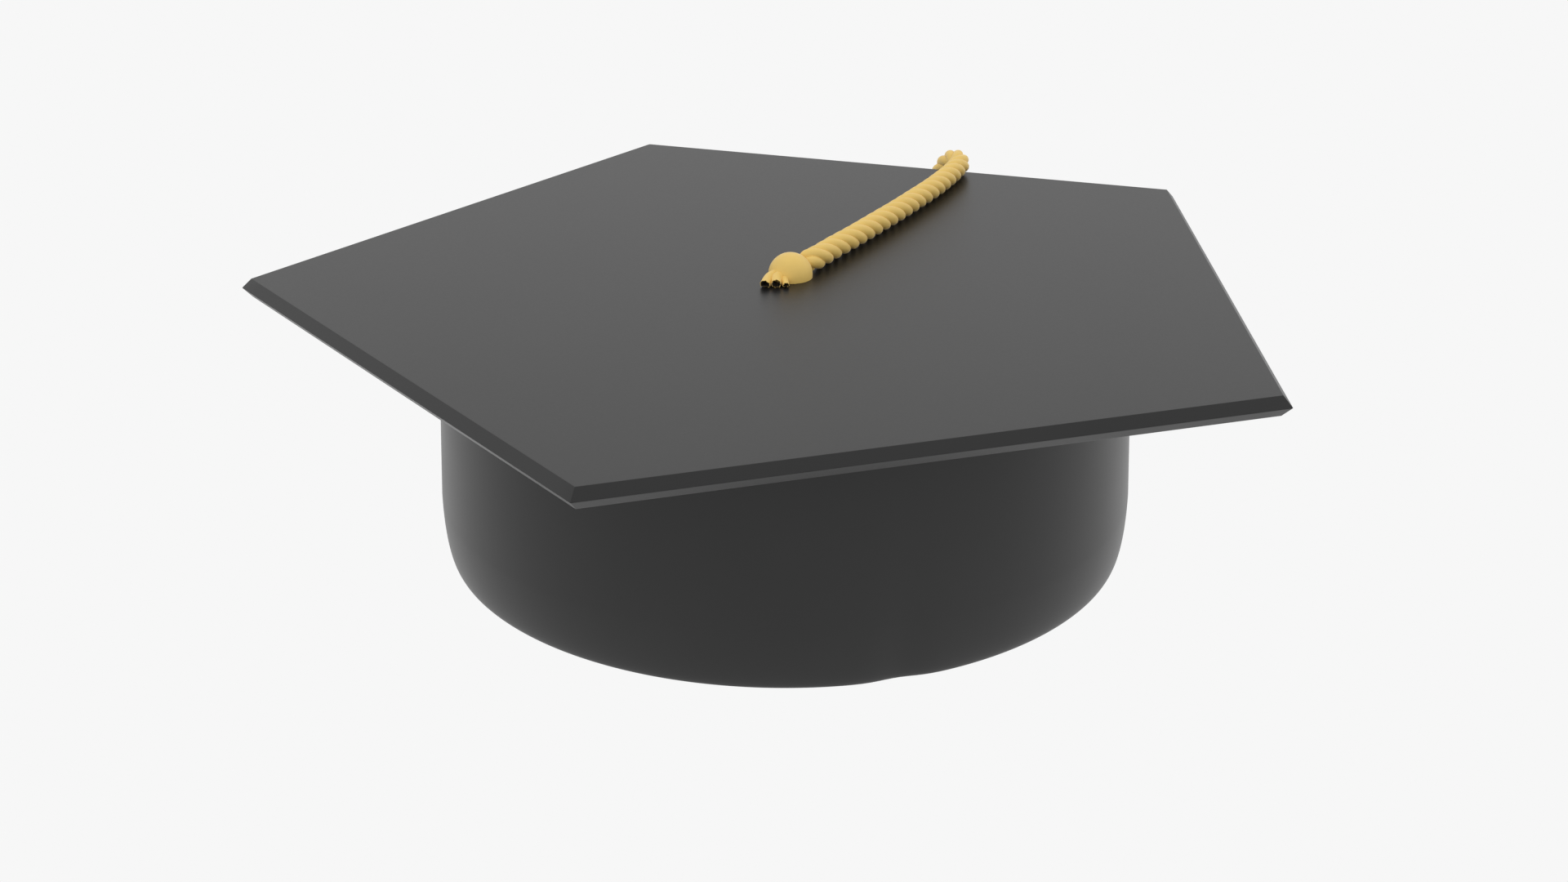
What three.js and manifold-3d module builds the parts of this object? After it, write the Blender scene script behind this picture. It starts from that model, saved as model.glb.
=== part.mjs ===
// Graduation cap: a stiff five-cornered board on a round cloth crown, with a gold button
// and a twisted gold cord that ends in a tassel.
//
// Units are millimetres, +Z is up and +Y points at the front corner of the board.
// The origin is the centre of the head opening, in the plane of the crown's rim.

import * as THREE from 'three';
import Module from 'manifold-3d';
import { mergeVertices } from 'three/addons/utils/BufferGeometryUtils.js';

const wasm = await Module();
wasm.setup();

// ---------------------------------------------------------------- driving dimensions

const FIT_GAP = 0.3;                 // between pieces that touch

const BOARD_CORNERS = 5;
const BOARD_APOTHEM = 120.5;         // centre to the sharp line along the edge
const BOARD_THICKNESS = 5.26;
const BEVEL_WIDTH = 2.23;            // each face ends this far inside the sharp line
const COVER_THICKNESS = 0.9;
const COVER_INSET = 1.18;            // the same cover, measured level across the bevel
const BOARD_HOLE_RADIUS = 2.8;
const CORE_FACE_INSET = 0.57;        // the core's faces end this far inside the covers' faces
const CORE_EDGE_INSET = 0.42;        // and its edge this far inside the covers' lips

const CROWN_HEIGHT = 69.54;          // rim to the underside of the board
const CROWN_TOP_RADIUS = 94.24;
const CROWN_BELLY_RADIUS = 96.4;
const CROWN_BELLY_HEIGHT = 17.35;
const CROWN_ROLL = 2.55;             // how far the wall rolls in below the belly
const CROWN_SEGMENTS = 48;

const SHELL_THICKNESS = 0.8;
const STIFFENER_THICKNESS = 1.0;
const HEM_THICKNESS = 0.6;
const HEM_HEIGHT = 10;
const LINING_THICKNESS = 0.5;
const SWEATBAND_THICKNESS = 0.8;
const SWEATBAND_FOOT = 1.5;
const SWEATBAND_HEIGHT = 28;
const ELASTIC_HALF_ANGLE = Math.PI / 6;
const ELASTIC_END_GAP = 0.012;       // radians between the elastic and each end of the sweatband
const ELASTIC_INSET = 3;             // the elastic is narrower than the band by this at each edge
const SEAM_TAPE_THICKNESS = 0.6;
const SEAM_TAPE_HALF_ANGLE = 0.065;  // radians

const TOP_FLANGE_INNER = 82;
const TOP_PANEL_THICKNESS = 0.8;
const PANEL_HOLE_RADIUS = 4.6;
const TOP_LINING_DROP = 4.6;         // the top lining hangs this far below the board
const TOP_LINING_THICKNESS = 0.6;
const TOP_TAPE_INNER = 78;
const TOP_TAPE_OUTER = 87;

const BUTTON_X = 1.8;
const BUTTON_Y = 0.9;
const BUTTON_RADIUS = 6.1;
const BUTTON_CENTRE_HEIGHT = 0.8;
const BUTTON_WALL = 1.0;
const BUTTON_MOUTH_RADIUS = 2.3;
const BUTTON_MOUTH_HEIGHT = 2.5;
const CORD_HEADING = THREE.MathUtils.degToRad(27);
const TAIL_HEADING = THREE.MathUtils.degToRad(225);

const POST_RADIUS = 1.5;
const POST_FOOT = -8.8;              // heights here are from the top of the board
const POST_HEAD_LOW = 3.8;
const POST_HEAD_RADIUS = 3;
const POST_HEAD_THICKNESS = 0.6;
const EYELET_FLANGE = 0.5;
const EYELET_FLANGE_RADIUS = 4;
const EYELET_ROLL = 0.4;             // height of the rolled lip on top of the board
const EYELET_ROLL_RADIUS = 3.6;
const WASHER_BORE = 1.9;
const WASHER_RADIUS = 7.5;
const WASHER_LOW = -7.3;
const WASHER_THICKNESS = 0.6;
const NUT_RADIUS = 4;
const NUT_LOW = -8.2;
const NUT_THICKNESS = 0.6;
const LOOP_RADIUS = 2.9;             // the cord's end round the post
const LOOP_THREAD_RADIUS = 1;
const LOOP_HEIGHT = 2.4;

const CORD_RADIUS = 3.0;
const CORD_SIDES = 10;

const TAIL_RADIUS = 1.05;
const TAIL_BORE = 0.65;
const TAIL_SIDES = 8;
const TAIL_ROOT = 6.45;              // distance from the middle of the button
const TAIL_STRANDS = [
  { side: -2.4, height: 1.4, tipSide: -2.1, tipHeight: 1.4, tip: 12.0 },
  { side: 0, height: 2.2, tipSide: 0.4, tipHeight: 1.6, tip: 10.8 },
  { side: 2.4, height: 1.4, tipSide: 2.9, tipHeight: 1.4, tip: 9.6 },
];

const TASSEL_X = 83.2;
const TASSEL_Y = 97.5;
const KNOT_DROP = 24;                // centre of the end knot, below the top of the board
const KNOT_RADIUS = 5;
const KNOT_POLE_HEIGHT = 3.6;        // the knot is flat on top, where the cord comes in
const HEAD_RADIUS = 7.6;
const HEAD_ABOVE = 5;                // head above the knot's centre
const HEAD_BELOW = 7.4;              // head below the knot's centre
const HEAD_MOUTH_LOW = 4.5;
const HEAD_MOUTH_HIGH = 5.4;
const NECK_RADIUS = 4.6;
const NECK_GATHER = 0.4;             // the binding draws the neck in by this much
const BINDING_THICKNESS = 1.3;
const BINDING_LOW = -5.7;            // heights of the binding, from the skirt's pivot
const BINDING_HIGH = -2.2;
const SKIRT_LENGTH = 78;
const SKIRT_RADIUS = 10.5;

const BOARD_TOP = CROWN_HEIGHT + BOARD_THICKNESS;
const KNOT_HEIGHT = BOARD_TOP - KNOT_DROP;
const SKIRT_PIVOT_HEIGHT = -HEAD_BELOW - FIT_GAP - NECK_RADIUS;

// The cord's route in x, y and height above the board: from the button, over the edge
// and down into the tassel's head.
const CORD_ROUTE = [
  [8.05, 3.45, 3.4],
  [10.9, 5.3, 3.4],
  [14.5, 8.7, 3.4],
  [18.3, 12.3, 3.4],
  [25.7, 18.9, 3.4],
  [33.5, 26.3, 3.4],
  [41.6, 34.0, 3.4],
  [49.8, 41.9, 3.4],
  [58.5, 50.7, 3.4],
  [65.3, 57.6, 3.4],
  [71.7, 64.7, 3.4],
  [77.3, 71.3, 3.4],
  [81.5, 76.8, 3.4],
  [83.2, 79.1, 3.4],
  [84.4, 81.3, 3.45],
  [84.8, 83.6, 3.5],
  [84.85, 86.4, 3.2],
  [84.4, 89.15, 1.95],
  [83.9, 91.6, 0.05],
  [83.6, 93.8, -2.7],
  [83.3, 95.7, -6.2],
  [83.2, 96.9, -10.4],
  [83.2, 97.5, -15.0],
  [83.2, 97.5, -20.1],
];

// The cord folds at this point of the route, where the hanging stretch begins.
const CORD_FOLD_POINT = 13;

// ---------------------------------------------------------------- materials

function finish(colour, roughness, metalness = 0) {
  return new THREE.MeshStandardMaterial({ color: colour, roughness, metalness });
}

const boardCloth = finish(0x1d1d1d, 0.45);
const crownCloth = finish(0x1b1b1b, 0.6);
const greyBoard = finish(0x8a8378, 0.9);
const buckram = finish(0xd8d2c4, 0.95);
const liningCloth = finish(0x232323, 0.5);
const bandLeatherette = finish(0x2a2624, 0.55);
const elasticWeb = finish(0x202020, 0.85);
const brassMetal = finish(0xb99a4b, 0.35, 1);
const steelMetal = finish(0x9a9a98, 0.4, 1);
const goldThread = finish(0xdcb867, 0.6);

// ---------------------------------------------------------------- shape helpers

// Revolves [radius, height] pairs about Z. The outline runs anticlockwise and either
// starts and ends on the axis or returns to its first point.
function turned(outline, segments, startAngle = 0) {
  const points = outline.map(([radius, height]) => new THREE.Vector2(radius, height));
  const geometry = new THREE.LatheGeometry(points, segments, startAngle);
  geometry.rotateX(Math.PI / 2);
  return geometry;
}

function ring(innerRadius, outerRadius, low, high, segments) {
  return turned([
    [innerRadius, low],
    [outerRadius, low],
    [outerRadius, high],
    [innerRadius, high],
    [innerRadius, low],
  ], segments);
}

// A plate with the board's corners, from [apothem, height] pairs.
function cornered(outline) {
  const toCorner = 1 / Math.cos(Math.PI / BOARD_CORNERS);
  const atCorners = outline.map(([apothem, height]) => [apothem * toCorner, height]);
  return turned(atCorners, BOARD_CORNERS, Math.PI);
}

function uprightCylinder(radius, low, high, segments = 24) {
  const geometry = new THREE.CylinderGeometry(radius, radius, high - low, segments);
  geometry.rotateX(Math.PI / 2);
  geometry.translate(0, 0, (low + high) / 2);
  return geometry;
}

// The drill for a hole round the button's post.
function pivotHole(radius, low, high) {
  const drill = uprightCylinder(radius, low, high);
  drill.translate(BUTTON_X, BUTTON_Y, 0);
  return drill;
}

function regularSection(radius, sides) {
  const points = [];
  for (let side = 0; side < sides; side += 1) {
    const angle = (2 * Math.PI * side) / sides;
    points.push(new THREE.Vector2(radius * Math.cos(angle), radius * Math.sin(angle)));
  }
  return points;
}

function tubeAlong(curve, steps, radius, sides, boreRadius = 0) {
  const section = new THREE.Shape(regularSection(radius, sides));
  if (boreRadius > 0) {
    section.holes.push(new THREE.Path(regularSection(boreRadius, sides)));
  }
  const options = { steps, bevelEnabled: false, extrudePath: curve };
  return new THREE.ExtrudeGeometry(section, options);
}

// An upright pie slice with its point on the axis, to cut a stretch out of a ring.
function pieSlice(centreAngle, halfAngle, low, high) {
  const reach = 2 * CROWN_BELLY_RADIUS;
  const shape = new THREE.Shape();
  shape.moveTo(0, 0);
  for (const step of [-1, 0, 1]) {
    const angle = centreAngle + step * halfAngle;
    shape.lineTo(reach * Math.cos(angle), reach * Math.sin(angle));
  }
  shape.closePath();
  const geometry = new THREE.ExtrudeGeometry(shape, { depth: high - low, bevelEnabled: false });
  geometry.translate(0, 0, low);
  return geometry;
}

// ---------------------------------------------------------------- solid booleans

function toSolid(geometry) {
  const bare = geometry.clone();
  bare.deleteAttribute('normal');
  bare.deleteAttribute('uv');
  const merged = mergeVertices(bare, 1e-4);
  const index = merged.index.array;
  const triangles = [];
  for (let i = 0; i < index.length; i += 3) {
    const [a, b, c] = [index[i], index[i + 1], index[i + 2]];
    if (a !== b && b !== c && c !== a) triangles.push(a, b, c);
  }
  const vertProperties = new Float32Array(merged.attributes.position.array);
  const triVerts = new Uint32Array(triangles);
  return new wasm.Manifold(new wasm.Mesh({ numProp: 3, vertProperties, triVerts }));
}

function toGeometry(solid) {
  const mesh = solid.getMesh();
  const geometry = new THREE.BufferGeometry();
  geometry.setAttribute('position', new THREE.BufferAttribute(mesh.vertProperties, 3));
  geometry.setIndex(new THREE.BufferAttribute(mesh.triVerts, 1));
  const flat = geometry.toNonIndexed();
  flat.computeVertexNormals();
  return flat;
}

function cut(geometry, ...tools) {
  let solid = toSolid(geometry);
  for (const tool of tools) solid = solid.subtract(toSolid(tool));
  return toGeometry(solid);
}

function common(geometry, tool) {
  return toGeometry(toSolid(geometry).intersect(toSolid(tool)));
}

function piece(name, geometry, material) {
  const mesh = new THREE.Mesh(geometry, material);
  mesh.name = name;
  return mesh;
}

// ---------------------------------------------------------------- the board

// Heights in this section are above the underside of the board.
function boardHole() {
  return pivotHole(BOARD_HOLE_RADIUS, -1, BOARD_THICKNESS + 1);
}

// One cover: the face, folded over half the edge. It is drawn for the top and flipped
// for the underside.
function coverOutline() {
  const middle = BOARD_THICKNESS / 2;
  const lip = middle + FIT_GAP / 2;
  const slope = BEVEL_WIDTH / middle;
  const face = BOARD_APOTHEM - BEVEL_WIDTH;
  const lipOuter = BOARD_APOTHEM - slope * (FIT_GAP / 2);
  const inner = BOARD_THICKNESS - COVER_THICKNESS;
  const lipInner = lipOuter - COVER_INSET;
  return [
    [0, inner],
    [lipInner - slope * (inner - lip), inner],
    [lipInner, lip],
    [lipOuter, lip],
    [face, BOARD_THICKNESS],
    [0, BOARD_THICKNESS],
  ];
}

function boardTopCover() {
  return cut(cornered(coverOutline()), boardHole());
}

function boardUndersideCover() {
  const outline = coverOutline().map(([apothem, height]) => [apothem, BOARD_THICKNESS - height]);
  return cut(cornered(outline.reverse()), boardHole());
}

function boardCore() {
  const low = COVER_THICKNESS + FIT_GAP;
  const high = BOARD_THICKNESS - low;
  const faceApothem = BOARD_APOTHEM - BEVEL_WIDTH - CORE_FACE_INSET;
  const middleApothem = BOARD_APOTHEM - COVER_INSET - CORE_EDGE_INSET;
  const plate = cornered([
    [0, low],
    [faceApothem, low],
    [middleApothem, BOARD_THICKNESS / 2],
    [faceApothem, high],
    [0, high],
  ]);
  return cut(plate, boardHole());
}

function buildBoard() {
  const board = new THREE.Group();
  board.position.z = CROWN_HEIGHT;
  board.add(piece('board_core', boardCore(), greyBoard));
  board.add(piece('board_top_cover', boardTopCover(), boardCloth));
  board.add(piece('board_underside_cover', boardUndersideCover(), boardCloth));
  return board;
}

// ---------------------------------------------------------------- the crown

// Outer radius of the crown's wall at a height above the rim.
function wallRadius(height) {
  if (height >= CROWN_BELLY_HEIGHT) {
    const share = (height - CROWN_BELLY_HEIGHT) / (CROWN_HEIGHT - CROWN_BELLY_HEIGHT);
    return CROWN_BELLY_RADIUS + share * (CROWN_TOP_RADIUS - CROWN_BELLY_RADIUS);
  }
  const below = 1 - height / CROWN_BELLY_HEIGHT;
  return CROWN_BELLY_RADIUS - CROWN_ROLL * (1 - Math.sqrt(1 - below * below));
}

// The wall's outline at one depth inside its outer face, from low to high.
function wallLine(depth, heights) {
  return heights.map((height) => [wallRadius(height) - depth, height]);
}

// A layer of the wall that lies between two depths.
function wallLayer(depth, thickness, heights) {
  const outer = wallLine(depth, heights);
  const inner = wallLine(depth + thickness, heights).reverse();
  return turned([...outer, ...inner, outer[0]], CROWN_SEGMENTS);
}

const FLANGE_TOP = CROWN_HEIGHT - FIT_GAP;
const FLANGE_LOW = FLANGE_TOP - SHELL_THICKNESS;
const LAYER_TOP = FLANGE_LOW - FIT_GAP;
const STIFFENER_DEPTH = SHELL_THICKNESS + FIT_GAP;
const HEM_DEPTH = STIFFENER_DEPTH + STIFFENER_THICKNESS + FIT_GAP;
const LINING_DEPTH = HEM_DEPTH + HEM_THICKNESS + FIT_GAP;
const SWEATBAND_DEPTH = LINING_DEPTH + LINING_THICKNESS + FIT_GAP;

// The outer cloth: a flange sewn under the board, the wall, and a hem turned up inside.
function crownShell() {
  const rise = [0, 0.3, 1, 2.5, 5, 9, CROWN_BELLY_HEIGHT, 43, FLANGE_TOP];
  const fall = [FLANGE_LOW, 43, CROWN_BELLY_HEIGHT, 9, 5, 2.5, SHELL_THICKNESS];
  const hemInner = HEM_DEPTH + HEM_THICKNESS;
  return turned([
    ...wallLine(0, rise),
    [TOP_FLANGE_INNER, FLANGE_TOP],
    [TOP_FLANGE_INNER, FLANGE_LOW],
    ...wallLine(SHELL_THICKNESS, fall),
    ...wallLine(HEM_DEPTH, [SHELL_THICKNESS, 5, HEM_HEIGHT]),
    ...wallLine(hemInner, [HEM_HEIGHT, 5, SHELL_THICKNESS]),
    [wallRadius(SHELL_THICKNESS) - hemInner, 0],
    [wallRadius(0), 0],
  ], CROWN_SEGMENTS);
}

function crownStiffener() {
  const foot = SHELL_THICKNESS + FIT_GAP;
  const heights = [foot, 2.5, 5, 9, CROWN_BELLY_HEIGHT, LAYER_TOP];
  return wallLayer(STIFFENER_DEPTH, STIFFENER_THICKNESS, heights);
}

function crownLining() {
  const heights = [SWEATBAND_FOOT, 5, CROWN_BELLY_HEIGHT, LAYER_TOP];
  return wallLayer(LINING_DEPTH, LINING_THICKNESS, heights);
}

function fullSweatband() {
  const heights = [SWEATBAND_FOOT, 5, CROWN_BELLY_HEIGHT, SWEATBAND_HEIGHT];
  return wallLayer(SWEATBAND_DEPTH, SWEATBAND_THICKNESS, heights);
}

const BACK = -Math.PI / 2;

function sweatband() {
  return cut(fullSweatband(), pieSlice(BACK, ELASTIC_HALF_ANGLE, -1, SWEATBAND_HEIGHT + 1));
}

// The elastic lies in the gap at the back and is a little narrower than the band.
function backElastic() {
  const halfAngle = ELASTIC_HALF_ANGLE - ELASTIC_END_GAP;
  const low = SWEATBAND_FOOT + ELASTIC_INSET;
  const high = SWEATBAND_HEIGHT - ELASTIC_INSET;
  return common(fullSweatband(), pieSlice(BACK, halfAngle, low, high));
}

// A tape down the inside of the back seam, between the top lining and the elastic.
function backSeamTape() {
  const low = SWEATBAND_HEIGHT + 1;
  const high = CROWN_HEIGHT - TOP_LINING_DROP - 1.5;
  const band = wallLayer(SWEATBAND_DEPTH, SEAM_TAPE_THICKNESS, [low, high]);
  return common(band, pieSlice(BACK, SEAM_TAPE_HALF_ANGLE, low - 1, high + 1));
}

function disc(radius, low, high) {
  return turned([[0, low], [radius, low], [radius, high], [0, high]], CROWN_SEGMENTS);
}

// The stiff panel inside the flange, under the board.
function topPanel() {
  const low = FLANGE_TOP - TOP_PANEL_THICKNESS;
  const panel = disc(TOP_FLANGE_INNER - FIT_GAP, low, FLANGE_TOP);
  return cut(panel, pivotHole(PANEL_HOLE_RADIUS, low - 1, FLANGE_TOP + 1));
}

function buildCrown() {
  const crown = new THREE.Group();
  const tapeHigh = FLANGE_LOW - FIT_GAP;
  const tapeLow = tapeHigh - SEAM_TAPE_THICKNESS;
  const tape = ring(TOP_TAPE_INNER, TOP_TAPE_OUTER, tapeLow, tapeHigh, CROWN_SEGMENTS);
  const liningHigh = CROWN_HEIGHT - TOP_LINING_DROP;
  const liningRadius = wallRadius(liningHigh) - SWEATBAND_DEPTH;
  const topLining = disc(liningRadius, liningHigh - TOP_LINING_THICKNESS, liningHigh);
  crown.add(piece('crown_shell', crownShell(), crownCloth));
  crown.add(piece('crown_stiffener', crownStiffener(), buckram));
  crown.add(piece('crown_lining', crownLining(), liningCloth));
  crown.add(piece('crown_top_panel', topPanel(), buckram));
  crown.add(piece('crown_top_seam_tape', tape, liningCloth));
  crown.add(piece('crown_top_lining', topLining, liningCloth));
  crown.add(piece('sweatband', sweatband(), bandLeatherette));
  crown.add(piece('back_elastic', backElastic(), elasticWeb));
  crown.add(piece('back_seam_tape', backSeamTape(), liningCloth));
  return crown;
}

// ---------------------------------------------------------------- the button

// Points on a circle about (0, centre height), as [radius, height] pairs.
function arc(radius, centreHeight, fromAngle, toAngle, steps) {
  const points = [];
  for (let step = 0; step <= steps; step += 1) {
    const angle = fromAngle + ((toAngle - fromAngle) * step) / steps;
    points.push([radius * Math.cos(angle), centreHeight + radius * Math.sin(angle)]);
  }
  return points;
}

// The angle on a circle of this radius where it meets a level height.
function angleAtHeight(radius, centreHeight, height) {
  return Math.asin((height - centreHeight) / radius);
}

// Heights in this section are above the top of the board.
// The dome is a cup over the post, with a mouth on each side for the cord.
function buttonDome() {
  const inner = BUTTON_RADIUS - BUTTON_WALL;
  const top = Math.PI / 2;
  const innerFoot = angleAtHeight(inner, BUTTON_CENTRE_HEIGHT, FIT_GAP);
  const outerFoot = angleAtHeight(BUTTON_RADIUS, BUTTON_CENTRE_HEIGHT, FIT_GAP);
  const cup = turned([
    ...arc(inner, BUTTON_CENTRE_HEIGHT, top, innerFoot, 6),
    ...arc(BUTTON_RADIUS, BUTTON_CENTRE_HEIGHT, outerFoot, top, 8),
  ], 32);
  return cut(cup, buttonMouth(CORD_HEADING), buttonMouth(TAIL_HEADING));
}

// A level drill from the post's axis out through one side of the dome.
function buttonMouth(heading) {
  const length = 2 * BUTTON_RADIUS;
  const drill = new THREE.CylinderGeometry(BUTTON_MOUTH_RADIUS, BUTTON_MOUTH_RADIUS, length, 24);
  drill.rotateZ(-Math.PI / 2);
  drill.translate(length / 2, 0, BUTTON_MOUTH_HEIGHT);
  drill.rotateZ(heading);
  return drill;
}

// The post hangs from a flat head under the dome and runs down through the board.
function buttonPost() {
  return turned([
    [0, POST_FOOT],
    [POST_RADIUS, POST_FOOT],
    [POST_RADIUS, POST_HEAD_LOW],
    [POST_HEAD_RADIUS, POST_HEAD_LOW],
    [POST_HEAD_RADIUS, POST_HEAD_LOW + POST_HEAD_THICKNESS],
    [0, POST_HEAD_LOW + POST_HEAD_THICKNESS],
  ], 20);
}

function pushNut() {
  return ring(POST_RADIUS + FIT_GAP, NUT_RADIUS, NUT_LOW, NUT_LOW + NUT_THICKNESS, 20);
}

// The cord's end, tied once round the post inside the dome.
function cordLoop() {
  const section = arc(LOOP_THREAD_RADIUS, LOOP_HEIGHT, 0, 2 * Math.PI, 8);
  return turned(section.map(([radius, height]) => [radius + LOOP_RADIUS, height]), 20);
}

// One cut strand end: a short hollow sleeve that leaves the dome away from the cord.
function tailStrand(strand) {
  const middle = (TAIL_ROOT + strand.tip) / 2;
  const curve = new THREE.QuadraticBezierCurve3(
    new THREE.Vector3(TAIL_ROOT, strand.side, strand.height),
    new THREE.Vector3(middle, strand.side, strand.height),
    new THREE.Vector3(strand.tip, strand.tipSide, strand.tipHeight),
  );
  const sleeve = tubeAlong(curve, 3, TAIL_RADIUS, TAIL_SIDES, TAIL_BORE);
  sleeve.rotateZ(TAIL_HEADING);
  return sleeve;
}

function buildButton() {
  const button = new THREE.Group();
  button.position.set(BUTTON_X, BUTTON_Y, BOARD_TOP);
  button.add(piece('button_dome', buttonDome(), goldThread));
  button.add(piece('button_post', buttonPost(), steelMetal));
  button.add(piece('post_push_nut', pushNut(), steelMetal));
  button.add(piece('cord_loop', cordLoop(), goldThread));
  TAIL_STRANDS.forEach((strand, number) => {
    button.add(piece(`tail_strand_${number + 1}`, tailStrand(strand), goldThread));
  });
  return button;
}

// The metal lining of the board's hole and the washer under the crown's top panel.
function eyelet() {
  const bore = POST_RADIUS + FIT_GAP;
  const under = -BOARD_THICKNESS - FIT_GAP;
  return turned([
    [bore, under - EYELET_FLANGE],
    [EYELET_FLANGE_RADIUS, under - EYELET_FLANGE],
    [EYELET_FLANGE_RADIUS, under],
    [BOARD_HOLE_RADIUS - FIT_GAP, under],
    [BOARD_HOLE_RADIUS - FIT_GAP, FIT_GAP],
    [EYELET_ROLL_RADIUS, FIT_GAP],
    [EYELET_ROLL_RADIUS, FIT_GAP + EYELET_ROLL],
    [bore, FIT_GAP + EYELET_ROLL],
    [bore, under - EYELET_FLANGE],
  ], 24);
}

function buildPivot() {
  const pivot = new THREE.Group();
  pivot.position.set(BUTTON_X, BUTTON_Y, BOARD_TOP);
  pivot.add(piece('board_eyelet', eyelet(), brassMetal));
  const washerHigh = WASHER_LOW + WASHER_THICKNESS;
  const washer = ring(WASHER_BORE, WASHER_RADIUS, WASHER_LOW, washerHigh, 24);
  pivot.add(piece('pivot_washer', washer, steelMetal));
  return pivot;
}

// ---------------------------------------------------------------- the cord

// A stretch of a longer curve, between two distances along it.
class Stretch extends THREE.Curve {
  constructor(curve, from, to) {
    super();
    this.curve = curve;
    this.from = from / curve.getLength();
    this.to = to / curve.getLength();
  }

  getPoint(share, target = new THREE.Vector3()) {
    return this.curve.getPointAt(this.from + (this.to - this.from) * share, target);
  }
}

function cordCurve() {
  const points = CORD_ROUTE.map(([x, y, height]) => new THREE.Vector3(x, y, BOARD_TOP + height));
  const curve = new THREE.CatmullRomCurve3(points, false, 'catmullrom');
  curve.arcLengthDivisions = 50 * CORD_ROUTE.length;
  return curve;
}

// Distance along the curve to one of the points that it was drawn through.
function distanceToPoint(curve, number) {
  const divisions = curve.arcLengthDivisions;
  const share = number / (CORD_ROUTE.length - 1);
  return curve.getLengths()[Math.round(share * divisions)];
}

function buildCord() {
  const curve = cordCurve();
  const fold = distanceToPoint(curve, CORD_FOLD_POINT);
  const lying = new Stretch(curve, 0, fold - FIT_GAP);
  const drop = new Stretch(curve, fold, curve.getLength());
  const cord = new THREE.Group();
  cord.add(piece('cord_on_board', tubeAlong(lying, 14, CORD_RADIUS, CORD_SIDES), goldThread));
  cord.add(piece('cord_hanging', tubeAlong(drop, 12, CORD_RADIUS, CORD_SIDES), goldThread));
  return cord;
}

// ---------------------------------------------------------------- the tassel

// Heights in this section are above the centre of the knot at the cord's end.
function knot() {
  const top = angleAtHeight(KNOT_RADIUS, 0, KNOT_POLE_HEIGHT);
  return turned([
    ...arc(KNOT_RADIUS, 0, -Math.PI / 2, top, 9),
    [0, KNOT_POLE_HEIGHT],
  ], 24);
}

// The turned head is a bead round the knot, open on top so that the cord can swing in it.
function tasselHead() {
  const socket = KNOT_RADIUS + FIT_GAP;
  const mouthLow = Math.sqrt(socket ** 2 - HEAD_MOUTH_LOW ** 2);
  const socketTop = angleAtHeight(socket, 0, mouthLow);
  return turned([
    [0, -HEAD_BELOW],
    [NECK_RADIUS + 0.4, -HEAD_BELOW],
    [HEAD_RADIUS - 0.7, -HEAD_BELOW + 2.6],
    [HEAD_RADIUS, -1.2],
    [HEAD_RADIUS - 0.3, 1.8],
    [HEAD_RADIUS - 1.3, HEAD_ABOVE - 0.6],
    [HEAD_MOUTH_HIGH + 0.5, HEAD_ABOVE],
    [HEAD_MOUTH_HIGH, HEAD_ABOVE],
    ...arc(socket, 0, socketTop, -Math.PI / 2, 9),
  ], 24);
}

// The skirt hangs from a round neck, so it can swing under the head.
function tasselSkirt() {
  const pivot = SKIRT_PIVOT_HEIGHT;
  return turned([
    [0, pivot - SKIRT_LENGTH],
    [SKIRT_RADIUS, pivot - SKIRT_LENGTH],
    [SKIRT_RADIUS - 0.8, pivot - 40],
    [SKIRT_RADIUS - 2.2, pivot - 17],
    [NECK_RADIUS + 1.9, pivot - 9.5],
    [NECK_RADIUS - NECK_GATHER, pivot - 6],
    [NECK_RADIUS - NECK_GATHER, pivot - 2],
    ...arc(NECK_RADIUS, pivot, 0, Math.PI / 2, 6),
  ], 24);
}

function neckBinding() {
  const inner = NECK_RADIUS - NECK_GATHER + FIT_GAP;
  const low = SKIRT_PIVOT_HEIGHT + BINDING_LOW;
  const high = SKIRT_PIVOT_HEIGHT + BINDING_HIGH;
  return ring(inner, inner + BINDING_THICKNESS, low, high, 24);
}

function buildTassel() {
  const tassel = new THREE.Group();
  tassel.position.set(TASSEL_X, TASSEL_Y, KNOT_HEIGHT);
  tassel.add(piece('cord_end_knot', knot(), goldThread));
  tassel.add(piece('tassel_head', tasselHead(), goldThread));
  tassel.add(piece('tassel_skirt', tasselSkirt(), goldThread));
  tassel.add(piece('neck_binding', neckBinding(), goldThread));
  return tassel;
}

// ---------------------------------------------------------------- the whole cap

const cap = new THREE.Group();
cap.add(buildBoard(), buildCrown(), buildPivot(), buildButton(), buildCord(), buildTassel());

export default cap;
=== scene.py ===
"""A graduation cap: its cloth, thread and fittings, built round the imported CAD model.

Lengths are in metres, in the CAD model's frame: +Z is up, +Y points at the front corner
of the board, and the origin is the centre of the head opening.
"""

import math
import random

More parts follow.
